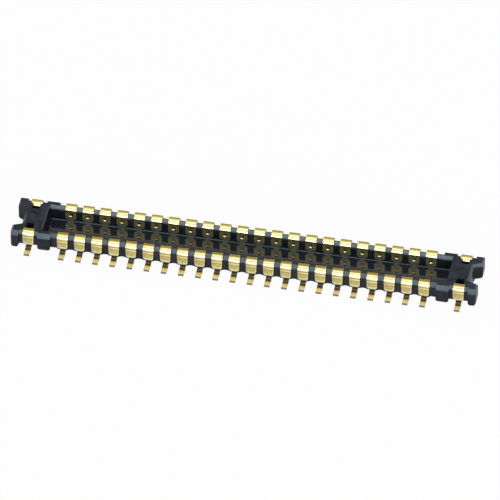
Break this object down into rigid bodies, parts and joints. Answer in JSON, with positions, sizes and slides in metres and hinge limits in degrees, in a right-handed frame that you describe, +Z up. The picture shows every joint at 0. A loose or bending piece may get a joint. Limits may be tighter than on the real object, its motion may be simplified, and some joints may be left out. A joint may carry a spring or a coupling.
{
  "type": "board to board connector",
  "caption": "Low profile surface mount header with two rows of gold plated contacts over the walls of a black moulded housing, and corner hold-downs.",
  "frame": {"origin": "middle of the header on the board plane, at the underside of the solder feet", "axes": "+X along the two rows of contacts, +Y across them, +Z up and away from the board, towards the mating side"},
  "size_m": [0.0108, 0.0016, 0.0005],
  "materials": {
    "housing_plastic": "satin moulded, smooth floor",
    "gold_plating": "bright gold plating over nickel"
  },
  "bodies": {
    "root": {"housing": "housing_plastic", "contact_front_01": "gold_plating", "contact_front_02": "gold_plating", "contact_front_03": "gold_plating", "contact_front_04": "gold_plating", "contact_front_05": "gold_plating", "contact_front_06": "gold_plating", "contact_front_07": "gold_plating", "contact_front_08": "gold_plating", "contact_front_09": "gold_plating", "contact_front_10": "gold_plating", "contact_front_11": "gold_plating", "contact_front_12": "gold_plating", "contact_front_13": "gold_plating", "contact_front_14": "gold_plating", "contact_front_15": "gold_plating", "contact_front_16": "gold_plating", "contact_front_17": "gold_plating", "contact_front_18": "gold_plating", "contact_front_19": "gold_plating", "contact_front_20": "gold_plating", "contact_front_21": "gold_plating", "contact_front_22": "gold_plating", "contact_rear_01": "gold_plating", "contact_rear_02": "gold_plating", "contact_rear_03": "gold_plating", "contact_rear_04": "gold_plating", "contact_rear_05": "gold_plating", "contact_rear_06": "gold_plating", "contact_rear_07": "gold_plating", "contact_rear_08": "gold_plating", "contact_rear_09": "gold_plating", "contact_rear_10": "gold_plating", "contact_rear_11": "gold_plating", "contact_rear_12": "gold_plating", "contact_rear_13": "gold_plating", "contact_rear_14": "gold_plating", "contact_rear_15": "gold_plating", "contact_rear_16": "gold_plating", "contact_rear_17": "gold_plating", "contact_rear_18": "gold_plating", "contact_rear_19": "gold_plating", "contact_rear_20": "gold_plating", "contact_rear_21": "gold_plating", "contact_rear_22": "gold_plating", "hold_down_front_left": "gold_plating", "hold_down_front_right": "gold_plating", "hold_down_rear_left": "gold_plating", "hold_down_rear_right": "gold_plating"}
  },
  "joints": []
}
